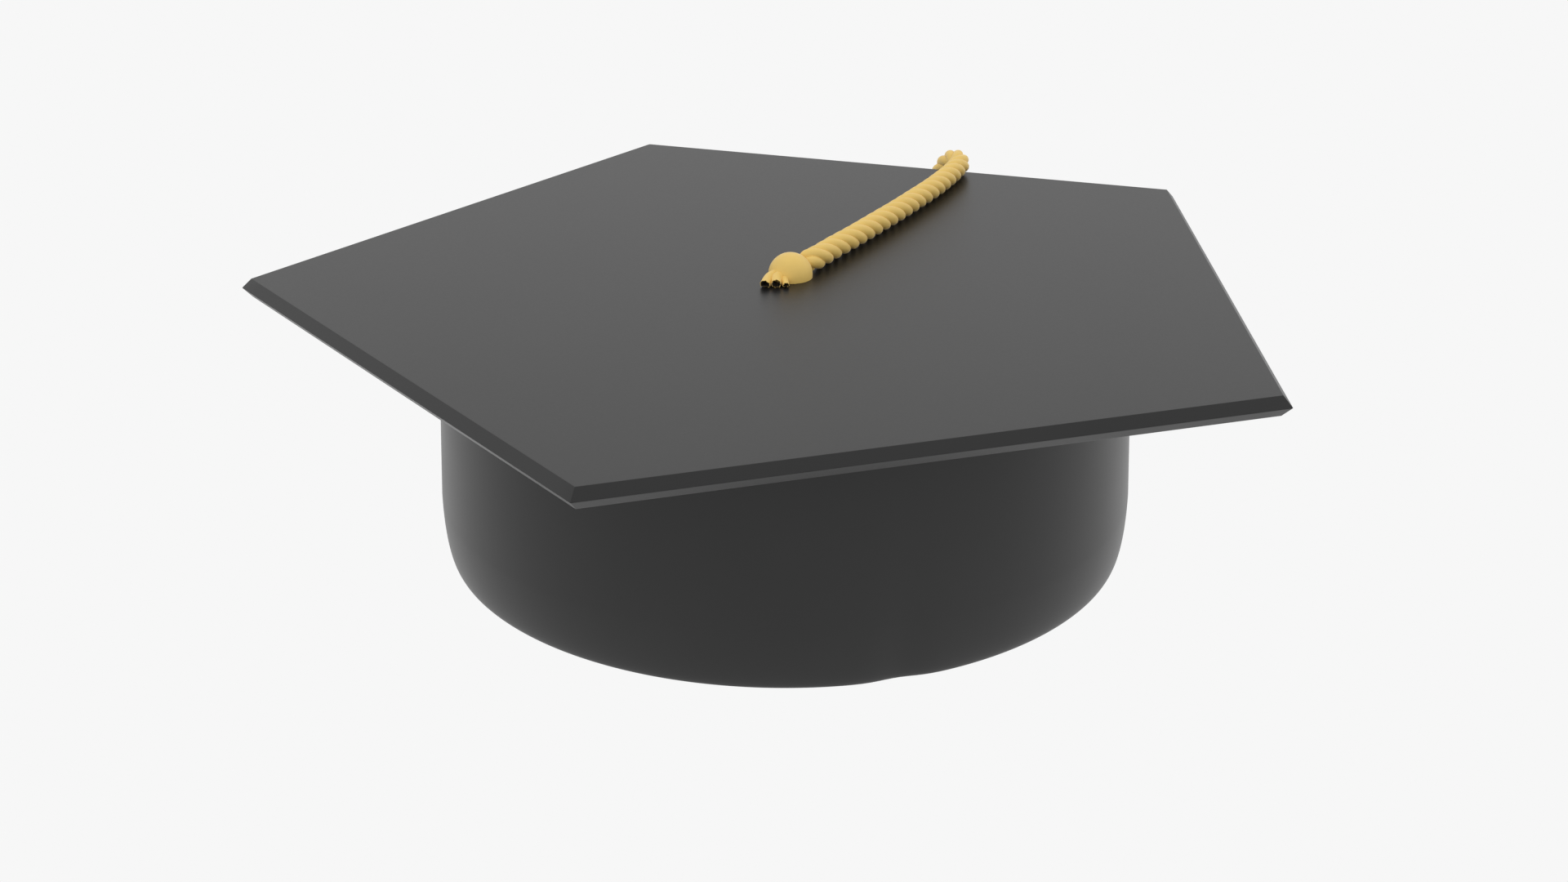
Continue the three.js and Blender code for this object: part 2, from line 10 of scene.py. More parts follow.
import bmesh
import bpy
import numpy as np
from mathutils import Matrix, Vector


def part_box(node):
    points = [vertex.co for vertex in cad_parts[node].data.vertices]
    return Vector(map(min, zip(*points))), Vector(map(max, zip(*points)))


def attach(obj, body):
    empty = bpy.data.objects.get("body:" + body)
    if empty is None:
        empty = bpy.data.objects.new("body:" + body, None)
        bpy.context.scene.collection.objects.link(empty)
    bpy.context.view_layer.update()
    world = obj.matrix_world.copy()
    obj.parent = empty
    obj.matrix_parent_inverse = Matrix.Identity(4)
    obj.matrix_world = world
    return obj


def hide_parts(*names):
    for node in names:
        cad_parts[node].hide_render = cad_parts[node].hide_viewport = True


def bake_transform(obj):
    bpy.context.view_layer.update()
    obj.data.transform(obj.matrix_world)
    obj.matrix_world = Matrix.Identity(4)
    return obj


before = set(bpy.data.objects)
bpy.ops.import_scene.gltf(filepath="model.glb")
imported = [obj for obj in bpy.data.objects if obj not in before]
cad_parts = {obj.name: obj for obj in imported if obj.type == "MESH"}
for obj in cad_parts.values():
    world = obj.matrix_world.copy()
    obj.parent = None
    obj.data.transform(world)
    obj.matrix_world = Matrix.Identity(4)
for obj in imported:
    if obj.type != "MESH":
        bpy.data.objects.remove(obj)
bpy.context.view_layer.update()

# ---------------------------------------------------------------- places and sizes

BOARD_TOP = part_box("board_top_cover")[1].z
BOARD_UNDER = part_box("board_underside_cover")[0].z
BOARD_MIDDLE = (BOARD_TOP + BOARD_UNDER) / 2
BOARD_CORNERS = 5
BOARD_APOTHEM = 0.1205               # centre to the sharp line along the edge
EDGE_HEADING = math.radians(54)      # the way the edge under the cord faces
BEVEL_WIDTH = 0.00223
COVER_THICKNESS = 0.0009
COVER_CREASE = 0.00016               # radius of the folds along the board's edges
LIP_CREASE = 0.00003
CREASE_SUPPORT = 0.0004              # a row of points this near the fold keeps the face flat
CORNER_ROUND = 0.0002
COVER_HOLE = 0.0028
COVER_INSET = 0.00118                # the cover's thickness, measured level across the bevel
COVER_SEAM = 0.000005                # half the gap where the two covers meet
FACE_START = 0.100                   # the board's outline is drawn from here to its edge

RIM_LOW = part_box("crown_shell")[0].z
CROWN_TOP = BOARD_UNDER - 0.00005
BELLY_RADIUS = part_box("crown_shell")[1].x
BELLY_HEIGHT = 0.01735
TOP_RADIUS = 0.09424
CROWN_ROLL = 0.00255                 # how far the wall rolls in below the belly
FLANGE_INNER = 0.082
CROWN_CREASE = 0.00035               # radius of the folds in the outer cloth
SHELL = 0.0008
# how far inside the wall's outer face each layer lies, and how thick it is
BUCKRAM_DEPTH = 0.0011
BUCKRAM = 0.0010
HEM_DEPTH = 0.0024
HEM = 0.0006
HEM_HEIGHT = 0.010
LINING_DEPTH = 0.0033
LINING = 0.0005
BAND_DEPTH = 0.0041
BAND = 0.0008
BAND_FOLD = 0.0011                   # thickness of the band's folded upper edge
BAND_FOLD_HEIGHT = 0.003
BAND_CREASE = 0.0003
BAND_STITCH_PITCH = 0.0034
BAND_STITCH_THREAD = 0.00019         # radius
ELASTIC = 0.0007
ELASTIC_RIB = 0.00012
ELASTIC_RIB_PITCH = 0.0017
BINDING = 0.0006
SEAM_STITCH_PITCH = 0.003
SEAM_STITCH_LENGTH = 0.0019
SEAM_STITCH_THREAD = 0.00017         # radius
SEAM_STITCH_ANGLE = 0.052            # from the seam to each row of its stitches
BACK = -math.pi / 2
FRONT = math.pi / 2
ELASTIC_HALF_ANGLE = math.radians(30)
BINDING_HALF_ANGLE = 0.065
TOP_LINING_SAG = 0.0016
TOP_LINING_GATHERS = 54
TOP_LINING_GATHER_HEIGHT = 0.0004
DENT_ANGLE = math.radians(-90.5)     # the soft notch at the back of the rim
DENT_SPREAD = math.radians(2.72)
DENT_DEPTH = 0.00106
DENT_HEIGHT = 0.045

POST_LOW, POST_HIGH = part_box("button_post")
BUTTON_X = (POST_LOW.x + POST_HIGH.x) / 2
BUTTON_Y = (POST_LOW.y + POST_HIGH.y) / 2
BUTTON_RADIUS = 0.0061
BUTTON_CENTRE = BOARD_TOP + 0.0008
BUTTON_FOOT = -0.00075               # the dome's lower edge, from its centre
BUTTON_WALL = 0.001
CORD_HEADING = math.radians(27)

STRANDS = 4
STRAND_OFFSET = 0.00165              # strand centres from the middle of the cord
STRAND_RADIUS = 0.00165
ROPE_LAY = 0.02036                   # length of one turn of the strands
ROPE_PHASE = math.radians(30)
ROPE_STEP = 0.0005
CORD_ROOT = 0.0034                   # the cord starts this far from the dome's middle
CORD_ROOT_HEIGHT = 0.0026
CORD_GATHER = 0.0034                 # and swells to its full thickness over this length

# Each cut end of a strand, from the middle of the button and the board's top: points on
# its axis, its radius where it leaves the dome and at the tip, and how far the lower lip
# is cut back behind the upper one.
STRAND_ENDS = [
    {"axis": [(-0.0038, -0.0012, 0.0018), (-0.0067, -0.0027, 0.0014), (-0.0096, -0.0069, 0.0009)],
     "root": 0.0016, "tip": 0.0014, "cut": 0.0012},
    {"axis": [(-0.0036, -0.0026, 0.0015), (-0.0054, -0.0045, 0.0015), (-0.0066, -0.0078, 0.0012)],
     "root": 0.0017, "tip": 0.0013, "cut": 0.0004},
    {"axis": [(-0.0024, -0.0032, 0.0013), (-0.0034, -0.0052, 0.0010), (-0.0040, -0.0086, 0.0007)],
     "root": 0.0013, "tip": 0.0009, "cut": 0.0012},
]
STRAND_WALL = 0.00014
STRAND_INSIDE_MM = 20.0              # surface coordinate where the inside of a sleeve begins
STRAND_STEP = 0.0004
STRAND_REST = 0.0001                 # the ends lie this far above the cloth
RAGGED_COARSE = 0.00038              # how far the cut edge's large and small teeth reach
RAGGED_FINE = 0.00022

KNOT_LOW, KNOT_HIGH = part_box("cord_end_knot")
TASSEL_X = (KNOT_LOW.x + KNOT_HIGH.x) / 2
TASSEL_Y = (KNOT_LOW.y + KNOT_HIGH.y) / 2
KNOT_RADIUS = 0.005
KNOT_CENTRE = KNOT_LOW.z + KNOT_RADIUS
KNOT_GROOVE = 0.0005
BEAD_GAP = 0.0003                    # between the knot and the socket of the bead
BEAD_RIDGES = 44
BEAD_GROOVE = 0.00045
SKIRT_LOW, SKIRT_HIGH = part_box("tassel_skirt")
NECK_RADIUS = 0.0046
SKIRT_PIVOT = SKIRT_HIGH.z - NECK_RADIUS
WRAP_THREAD = 0.00042
WRAP_TURNS = 4
WRAP_RADIUS = 0.0050
FRINGE_THREAD = 0.00042
FRINGE_START = 0.0018                # the threads begin this far below the pivot
FRINGE_UNEVEN = 0.0016               # the most by which one thread is shorter than another
FRINGE_CORE_END = 0.066              # the core ends this far below the pivot
FRINGE_CORE_GROOVE = 0.0004
# share of the skirt's radius, and the number of threads in the ring there
THREAD_RINGS = ((1.0, 64), (0.92, 60), (0.84, 52), (0.73, 44), (0.6, 36), (0.42, 26), (0.2, 12))

# The cord's route in x, y and height above the board: the CAD model's, but 0.15 mm higher
# at two points over the edge, because this cord is a little thicker.
CORD_ROUTE = [
    (0.00805, 0.00345, 0.0034),
    (0.0109, 0.0053, 0.0034),
    (0.0145, 0.0087, 0.0034),
    (0.0183, 0.0123, 0.0034),
    (0.0257, 0.0189, 0.0034),
    (0.0335, 0.0263, 0.0034),
    (0.0416, 0.034, 0.0034),
    (0.0498, 0.0419, 0.0034),
    (0.0585, 0.0507, 0.0034),
    (0.0653, 0.0576, 0.0034),
    (0.0717, 0.0647, 0.0034),
    (0.0773, 0.0713, 0.0034),
    (0.0815, 0.0768, 0.0034),
    (0.0832, 0.0791, 0.0034),
    (0.0844, 0.0813, 0.00345),
    (0.0848, 0.0836, 0.0035),
    (0.08485, 0.0864, 0.00335),
    (0.0844, 0.08915, 0.00212),
    (0.0839, 0.0916, 5e-05),
    (0.0836, 0.0938, -0.0027),
    (0.0833, 0.0957, -0.0062),
    (0.0832, 0.0969, -0.0104),
    (0.0832, 0.0975, -0.015),
    (0.0832, 0.0975, -0.0201),
]

# ---------------------------------------------------------------- camera, light and floor

CAMERA_PLACE = (-0.17463, -0.53790, BOARD_TOP + 0.19166)
CAMERA_PITCH = math.radians(67.013)
CAMERA_TURN = math.radians(-17.953)
CAMERA_LENS = 49.956
STUDIO_WHITE = 0.93
FLOOR_HEIGHT = -0.046
FLOOR_REACH = 6.0


def link(thing):
    bpy.context.scene.collection.objects.link(thing)
    return thing


def make_camera():
    data = bpy.data.cameras.new("camera")
    data.sensor_width = 36
    data.lens = CAMERA_LENS
    camera = link(bpy.data.objects.new("camera", data))
    camera.location = CAMERA_PLACE
    camera.rotation_euler = (CAMERA_PITCH, 0, CAMERA_TURN)
    bpy.context.scene.camera = camera


def make_studio():
    """Even white light from all round, and a pale floor that stays clear of shadows."""
    world = bpy.data.worlds.new("studio")
    bpy.context.scene.world = world
    world.use_nodes = True
    background = world.node_tree.nodes["Background"]
    background.inputs["Color"].default_value = (STUDIO_WHITE,) * 3 + (1,)
    bpy.context.scene.view_settings.view_transform = "Standard"
    mesh = bpy.data.meshes.new("floor")
    reach = FLOOR_REACH
    corners = [(-reach, -reach), (reach, -reach), (reach, reach), (-reach, reach)]
    mesh.from_pydata([(x, y, FLOOR_HEIGHT) for x, y in corners], [], [(0, 1, 2, 3)])
    floor = link(bpy.data.objects.new("floor", mesh))
    mesh.materials.append(floor_look())


def floor_look():
    """Glows as the studio does, and is clear from underneath."""
    look = Look("floor")
    glow = look.add("Emission", {"Color": (STUDIO_WHITE,) * 3 + (1,), "Strength": 1.0})
    clear = look.add("BsdfTransparent")
    behind = look.add("NewGeometry", output="Backfacing")
    shown = look.add("MixShader", {0: behind, 1: glow, 2: clear})
    output = look.tree.nodes["Material Output"]
    look.tree.links.new(shown, output.inputs["Surface"])
    return look.material


# ---------------------------------------------------------------- materials


class Look:
    """One material, made of nodes. Patterns are drawn in millimetres of the surface."""

    def __init__(self, name, **settings):
        self.material = bpy.data.materials.new(name)
        self.material.use_nodes = True
        self.tree = self.material.node_tree
        self.shader = self.tree.nodes["Principled BSDF"]
        for key, value in settings.items():
            self.shader.inputs[key.replace("_", " ").title().replace("Ior", "IOR")].default_value = value

    def add(self, kind, inputs=None, output=0, **settings):
        made = self.tree.nodes.new("ShaderNode" + kind)
        for key, value in settings.items():
            setattr(made, key, value)
        for key, value in (inputs or {}).items():
            if isinstance(value, bpy.types.NodeSocket):
                self.tree.links.new(value, made.inputs[key])
            else:
                made.inputs[key].default_value = value
        return made.outputs[output]

    def math(self, operation, *values):
        return self.add("Math", dict(enumerate(values)), operation=operation)

    def surface(self):
        """The cloth coordinates of the surface, in millimetres."""
        place = self.add("TexCoord", output="UV")
        return self.add("VectorMath", {0: place, "Scale": 1000.0}, operation="SCALE")

    def solid(self):
        """The place in space, in millimetres."""
        place = self.add("TexCoord", output="Object")
        return self.add("VectorMath", {0: place, "Scale": 1000.0}, operation="SCALE")

    def noise(self, place, scale, detail=3.0):
        inputs = {"Vector": place, "Scale": scale, "Detail": detail}
        return self.add("TexNoise", inputs)

    def wave(self, length, pitch):
        """From 0 to 1 and back over each pitch."""
        turns = self.math("MULTIPLY", length, 2 * math.pi / pitch)
        return self.math("MULTIPLY_ADD", self.math("SINE", turns), 0.5, 0.5)

    def weave(self, place, pitch):
        """Threads that pass over and under each other."""
        apart = self.add("SeparateXYZ", {0: place}).node
        over = self.math("SINE", self.math("MULTIPLY", apart.outputs[0], math.pi / pitch))
        along = self.math("SINE", self.math("MULTIPLY", apart.outputs[1], math.pi / pitch))
        return self.math("MULTIPLY_ADD", self.math("MULTIPLY", over, along), 0.5, 0.5)

    def threads(self, place, pitch, slant):
        """Fine threads that lie at a slant to the length of a strand."""
        apart = self.add("SeparateXYZ", {0: place}).node
        across = self.math("MULTIPLY_ADD", apart.outputs[1], slant, apart.outputs[0])
        return self.wave(across, pitch)

    def between(self, share, low, high):
        inputs = {0: share, 6: (*low, 1), 7: (*high, 1)}
        return self.add("Mix", inputs, output=2, data_type="RGBA")

    def spread(self, value, low, high):
        """A value from 0 to 1, spread from low to high."""
        return self.math("MULTIPLY_ADD", value, high - low, low)

    def colour(self, socket):
        self.tree.links.new(socket, self.shader.inputs["Base Color"])

    def roughness(self, socket):
        self.tree.links.new(socket, self.shader.inputs["Roughness"])

    def relief(self, *layers):
        """Bumps, each a height from 0 to 1 and its depth in metres."""
        normal = None
        for height, depth in layers:
            inputs = {"Height": height, "Distance": depth, "Strength": 1.0}
            if normal:
                inputs["Normal"] = normal
            normal = self.add("Bump", inputs)
        self.tree.links.new(normal, self.shader.inputs["Normal"])


GOLD_DARK = (0.815, 0.555, 0.146)
GOLD_LIGHT = (0.885, 0.615, 0.175)


def grey(value):
    return (value, value, value)


def board_cloth():
    look = Look("board_cloth", ior=1.45)
    place = look.solid()
    cloudy = look.noise(place, 0.03, 2.0)
    weave = look.weave(look.surface(), 0.36)
    slub = look.noise(place, 1.6, 2.0)
    look.colour(look.between(cloudy, grey(0.0076), grey(0.0098)))
    look.roughness(look.spread(slub, 0.37, 0.42))
    look.relief((weave, 0.000002))
    return look.material


def crown_cloth():
    look = Look("crown_cloth", ior=1.365)
    place = look.surface()
    cloudy = look.noise(look.solid(), 0.04, 2.0)
    weave = look.weave(place, 0.36)
    look.colour(look.between(cloudy, grey(0.0163), grey(0.0196)))
    look.roughness(look.spread(cloudy, 0.33, 0.39))
    look.relief((weave, 0.000004))
    return look.material


def lining_cloth():
    look = Look("lining_cloth", ior=1.45, sheen_weight=0.15, sheen_roughness=0.4)
    place = look.surface()
    weave = look.weave(place, 0.3)
    cloudy = look.noise(place, 0.08, 3.0)
    look.colour(look.between(cloudy, grey(0.008), grey(0.014)))
    look.roughness(look.spread(cloudy, 0.38, 0.5))
    look.relief((weave, 0.00001), (cloudy, 0.0002))
    return look.material


def band_leather():
    look = Look("sweatband_leather", ior=1.45)
    place = look.surface()
    cells = look.add("TexVoronoi", {"Vector": place, "Scale": 1.3}, feature="DISTANCE_TO_EDGE")
    grain = look.math("SMOOTH_MIN", look.math("MULTIPLY", cells, 4.0), 1.0, 0.3)
    blotch = look.noise(place, 0.15, 4.0)
    look.colour(look.between(blotch, (0.014, 0.011, 0.010), (0.024, 0.019, 0.017)))
    look.roughness(look.spread(blotch, 0.42, 0.58))
    look.relief((grain, 0.00008), (look.noise(place, 3.0), 0.00002))
    return look.material


def elastic_web():
    look = Look("elastic_web", ior=1.45, sheen_weight=0.2, sheen_roughness=0.5)
    place = look.surface()
    weave = look.weave(place, 0.55)
    cloudy = look.noise(place, 0.3, 3.0)
    look.colour(look.between(weave, grey(0.006), grey(0.016)))
    look.roughness(look.spread(cloudy, 0.7, 0.85))
    look.relief((weave, 0.00008))
    return look.material


def gold_cord():
    look = Look("gold_cord", ior=1.45, sheen_weight=0.25, sheen_roughness=0.3)
    place = look.surface()
    threads = look.threads(place, 0.32, 0.62)
    cloudy = look.noise(look.solid(), 0.25, 3.0)
    look.colour(look.between(cloudy, GOLD_DARK, GOLD_LIGHT))
    look.roughness(look.spread(threads, 0.62, 0.5))
    look.relief((threads, 0.000005))
    return look.material


def gold_cover():
    look = Look("gold_cover", ior=1.45, sheen_weight=0.25, sheen_roughness=0.3)
    place = look.surface()
    weave = look.weave(place, 0.3)
    cloudy = look.noise(look.solid(), 0.3, 3.0)
    look.colour(look.between(cloudy, GOLD_DARK, GOLD_LIGHT))
    look.roughness(look.spread(cloudy, 0.5, 0.62))
    look.relief((weave, 0.000006))
    return look.material


def gold_strand_end():
    """As the cord, but with painted shade inside the cut sleeves: a dark colour with a ragged edge."""
    look = Look("gold_strand_end", ior=1.45, sheen_weight=0.25, sheen_roughness=0.3)
    place = look.surface()
    threads = look.threads(place, 0.28, 0.4)
    cloudy = look.noise(look.solid(), 0.3, 3.0)
    along = look.add("SeparateXYZ", {0: place}).node.outputs[1]
    shade_edge = look.math("MULTIPLY_ADD", look.noise(place, 2.0), 0.6, along)
    ramp = {"Value": shade_edge, "From Min": STRAND_INSIDE_MM, "From Max": STRAND_INSIDE_MM + 0.5}
    inside = look.add("MapRange", ramp)
    outer = look.between(cloudy, GOLD_DARK, GOLD_LIGHT)
    # painted shade: this dark brown stands in for the shadow deep inside the sleeves
    inputs = {0: inside, 6: outer, 7: (0.022, 0.013, 0.004, 1)}
    look.colour(look.add("Mix", inputs, output=2, data_type="RGBA"))
    look.roughness(look.spread(threads, 0.62, 0.5))
    look.relief((threads, 0.00001))
    return look.material


def gold_fringe():
    look = Look("gold_fringe", ior=1.45, sheen_weight=0.1, sheen_roughness=0.4)
    place = look.surface()
    threads = look.threads(place, 0.3, 0.9)
    cloudy = look.noise(look.solid(), 0.12, 3.0)
    look.colour(look.between(cloudy, (0.70, 0.45, 0.09), (0.85, 0.58, 0.145)))
    look.roughness(look.spread(threads, 0.6, 0.45))
    look.relief((threads, 0.00003))
    return look.material


def grey_board():
    look = Look("core_board", ior=1.45)
    place = look.solid()
    fibres = look.noise(place, 0.9, 6.0)
    specks = look.noise(place, 4.0, 2.0)
    look.colour(look.between(fibres, (0.20, 0.18, 0.145), (0.31, 0.28, 0.23)))
    look.roughness(look.spread(specks, 0.85, 0.95))
    look.relief((fibres, 0.0001))
    return look.material


def buckram():
    look = Look("buckram", ior=1.45)
    place = look.solid()
    weave = look.weave(place, 1.1)
    cloudy = look.noise(place, 0.1, 3.0)
    look.colour(look.between(weave, (0.46, 0.43, 0.35), (0.62, 0.58, 0.49)))
    look.roughness(look.spread(cloudy, 0.85, 0.95))
    look.relief((weave, 0.00025))
    return look.material


def stitch_thread():
    look = Look("stitch_thread", ior=1.45, sheen_weight=0.2, sheen_roughness=0.4)
    place = look.surface()
    threads = look.threads(place, 0.16, 0.8)
    look.colour(look.between(threads, grey(0.012), grey(0.030)))
    look.roughness(look.spread(threads, 0.6, 0.45))
    look.relief((threads, 0.00003))
    return look.material


def metal(name, dark, light):
    look = Look(name, metallic=1.0)
    place = look.solid()
    scratches = look.noise(place, 2.5, 6.0)
    tarnish = look.noise(place, 0.6, 3.0)
    look.colour(look.between(tarnish, dark, light))
    look.roughness(look.spread(scratches, 0.28, 0.5))
    look.relief((scratches, 0.00002))
    return look.material


# ---------------------------------------------------------------- mesh building


class Surface:
    """Gathers the points, faces and surface coordinates of one piece."""

    def __init__(self):
        self.points = []
        self.faces = []
        self.coordinates = []

    def grid(self, points, across, along, wrap=False, ring=False):
        """Faces between rows of points. wrap joins the two ends of each row, and ring
        joins the last row to the first. across and along are the surface coordinates
        of the columns and the rows."""
        points = np.asarray(points, float)
        rows, columns = points.shape[:2]
        first = len(self.points)
        self.points.extend(points.reshape(-1, 3).tolist())
        for row in range(rows if ring else rows - 1):
            low = first + row * columns
            high = first + (row + 1) % rows * columns
            for column in range(columns if wrap else columns - 1):
                beside = (column + 1) % columns
                self.faces.append((low + column, low + beside, high + beside, high + column))
                left, right = across[column], across[column + 1]
                self.coordinates += [(left, along[row]), (right, along[row])]
                self.coordinates += [(right, along[row + 1]), (left, along[row + 1])]
        return first

    def fan(self, first, count, tip):
        """Closes a wrapped row with triangles to one more point."""
        self.points.append(tuple(tip))
        last = len(self.points) - 1
        for column in range(count):
            self.faces.append((first + column, first + (column + 1) % count, last))
            self.coordinates += [(0.0, 0.0), (0.0002, 0.0), (0.0001, 0.0002)]

    def cap(self, corners):
        """One flat face with these corners."""
        self.faces.append(tuple(corners))
        self.coordinates += [(self.points[c][0], self.points[c][2]) for c in corners]

    def build(self, name, look, crease=40.0):
        mesh = bpy.data.meshes.new(name)
        mesh.from_pydata(self.points, [], self.faces)
        layer = mesh.uv_layers.new(name="surface")
        layer.data.foreach_set("uv", np.array(self.coordinates, np.float32).ravel())
        work = bmesh.new()
        work.from_mesh(mesh)
        bmesh.ops.recalc_face_normals(work, faces=work.faces)
        work.to_mesh(mesh)
        work.free()
        mesh.shade_smooth()
        mesh.set_sharp_from_angle(angle=math.radians(crease))
        mesh.materials.append(look)
        return link(bpy.data.objects.new(name, mesh))


def fit(piece, body, slot, *nodes):
    """Puts a piece on its body, in place of CAD nodes."""
    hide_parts(*nodes)
    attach(piece, body)
    return piece


def lengths_along(points):
    """Distance along a line of points, to each of them."""
    steps = np.linalg.norm(np.diff(np.asarray(points, float), axis=0), axis=1)
    return np.concatenate([[0.0], np.cumsum(steps)])


def rounded(outline, radius, steps=3, closed=True):
    """An outline with each corner turned into an arc, of one radius or one for each. An
    open outline keeps its two ends."""
    outline = np.asarray(outline, float)
    radii = np.broadcast_to(radius, len(outline))
    made = []
    neighbours = zip(np.roll(outline, 1, 0), outline, np.roll(outline, -1, 0))
    for number, (before, corner, after) in enumerate(neighbours):
        back, on = before - corner, after - corner
        room = 0.45 * min(np.linalg.norm(back), np.linalg.norm(on))
        back, on = back / np.linalg.norm(back), on / np.linalg.norm(on)
        half = math.acos(np.clip(back @ on, -1, 1)) / 2
        is_end = not closed and number in (0, len(outline) - 1)
        if is_end or half > math.radians(80):
            made.append(corner)
            continue
        reach = min(radii[number] / math.tan(half), room)
        middle = (back + on) / np.linalg.norm(back + on)
        centre = corner + middle * reach / math.cos(half)
        start, end = corner + back * reach - centre, corner + on * reach - centre
        turn = math.pi - 2 * half
        for step in range(steps + 1):
            share = step / steps
            mix = math.sin((1 - share) * turn) * start + math.sin(share * turn) * end
            made.append(centre + mix / math.sin(turn))
    return np.array(made)


def revolve(surface, outline, columns, centre=(0.0, 0.0), ring=True, shift=None):
    """Turns an outline of (radius, height) points about an upright axis. shift may move
    each (angle, radius, height) to a new (radius, height)."""
    angles = np.linspace(0, 2 * math.pi, columns, endpoint=False)
    rows = []
    for radius, height in outline:
        radii, heights = np.full(columns, radius), np.full(columns, height)
        if shift:
            radii, heights = shift(angles, radii, heights)
        x, y = centre[0] + radii * np.cos(angles), centre[1] + radii * np.sin(angles)
        rows.append(np.stack([x, y, heights], axis=1))
    widest = max(radius for radius, _ in outline)
    across = np.linspace(0, 2 * math.pi * widest, columns + 1)
    along = lengths_along([*outline, outline[0]])
    return surface.grid(rows, across, along, wrap=True, ring=ring)


def tube(surface, line, radius, sides=12):
    """A closed tube along a line of points. radius is one number or one for each point."""
    line = np.asarray(line, float)
    radii = np.broadcast_to(radius, len(line))
    ahead, side = carried_frames(line)
    over = np.cross(ahead, side)
    angles = np.linspace(0, 2 * math.pi, sides, endpoint=False)
    circle = side[:, None] * np.cos(angles)[:, None] + over[:, None] * np.sin(angles)[:, None]
    rows = line[:, None] + circle * radii[:, None, None]
    across = np.linspace(0, 2 * math.pi * radii.mean(), sides + 1)
    first = surface.grid(rows, across, lengths_along(line), wrap=True)
    surface.fan(first, sides, line[0] - ahead[0] * radii[0] * 0.3)
    last = first + sides * (len(line) - 1)
    surface.fan(last, sides, line[-1] + ahead[-1] * radii[-1] * 0.3)


def carried_frames(line):
    """At each point of a line, the way ahead and a sideways direction that turns no more
    than the line itself does."""
    ahead = np.gradient(line, axis=0)
    ahead /= np.linalg.norm(ahead, axis=1)[:, None]
    start = np.array([0.0, 0.0, 1.0]) if abs(ahead[0][2]) < 0.9 else np.array([1.0, 0.0, 0.0])
    side = np.zeros_like(line)
    for i, forward in enumerate(ahead):
        start = start - forward * (start @ forward)
        start /= np.linalg.norm(start)
        side[i] = start
    return ahead, side


def smooth_step(value, low, high):
    share = np.clip((value - low) / (high - low), 0, 1)
    return share * share * (3 - 2 * share)


# ---------------------------------------------------------------- the cord


def smooth_route(points, steps=24):
    """A curve through the points, each stretch drawn with as many steps."""
    points = np.array(points, float)
    ends = [2 * points[0] - points[1], *points, 2 * points[-1] - points[-2]]
    made = []
    for a, b, c, d in zip(ends, ends[1:], ends[2:], ends[3:]):
        for step in range(steps):
            t = step / steps
            start, finish = (c - a) / 2, (d - b) / 2
            bend = 3 * (c - b) - 2 * start - finish
            last = 2 * (b - c) + start + finish
            made.append(b + t * start + t * t * bend + t ** 3 * last)
    made.append(points[-1])
    return np.array(made)


def even_steps(line, step):
    """The same line, with points an equal distance apart."""
    distance = lengths_along(line)
    count = int(round(distance[-1] / step)) + 1
    wanted = np.linspace(0, distance[-1], count)
    return np.stack([np.interp(wanted, distance, line[:, i]) for i in range(3)], axis=1)


def make_cord(look):
    """Strands twisted round the cord's route, which it returns too."""
    inside = (BUTTON_X + CORD_ROOT * math.cos(CORD_HEADING),
              BUTTON_Y + CORD_ROOT * math.sin(CORD_HEADING), CORD_ROOT_HEIGHT)
    route = [(x, y, BOARD_TOP + height) for x, y, height in [inside, *CORD_ROUTE]]
    line = even_steps(smooth_route(route), ROPE_STEP)
    distance = lengths_along(line)
    ahead, side = carried_frames(line)
    over = np.cross(ahead, side)
    gathered = 0.5 + 0.5 * smooth_step(distance, 0.0, CORD_GATHER)
    surface = Surface()
    for strand in range(STRANDS):
        turn = 2 * math.pi * (distance / ROPE_LAY + strand / STRANDS) + ROPE_PHASE
        out = side * np.cos(turn)[:, None] + over * np.sin(turn)[:, None]
        centre = line + out * (STRAND_OFFSET * gathered)[:, None]
        tube(surface, centre, STRAND_RADIUS * gathered, 18)
    piece = surface.build("twisted_cord", look, 80)
    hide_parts("cord_on_board", "cord_hanging")
    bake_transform(piece)
    return piece, line


# ---------------------------------------------------------------- the button


def make_button(look):
    """A covered dome over the post."""
    surface = Surface()
    outline = []
    for radius in (BUTTON_RADIUS, BUTTON_RADIUS - BUTTON_WALL):
        low, high = math.asin(BUTTON_FOOT / radius), math.radians(88)
        arc = np.linspace(low, high, 24)
        rim = [(radius * math.cos(a), BUTTON_CENTRE + radius * math.sin(a)) for a in arc]
        outline.append(rim)
    outer, inner = outline
    rows = [*outer[::-1], *inner]
    columns = 72
    first = revolve(surface, rows, columns, (BUTTON_X, BUTTON_Y), ring=False)
    top = BUTTON_CENTRE + BUTTON_RADIUS
    surface.fan(first, columns, (BUTTON_X, BUTTON_Y, top))
    last = first + columns * (len(rows) - 1)
    surface.fan(last, columns, (BUTTON_X, BUTTON_Y, top - BUTTON_WALL))
    piece = surface.build("button_cover", look)
    return fit(piece, "button_and_cord", "gold_thread", "button_dome")


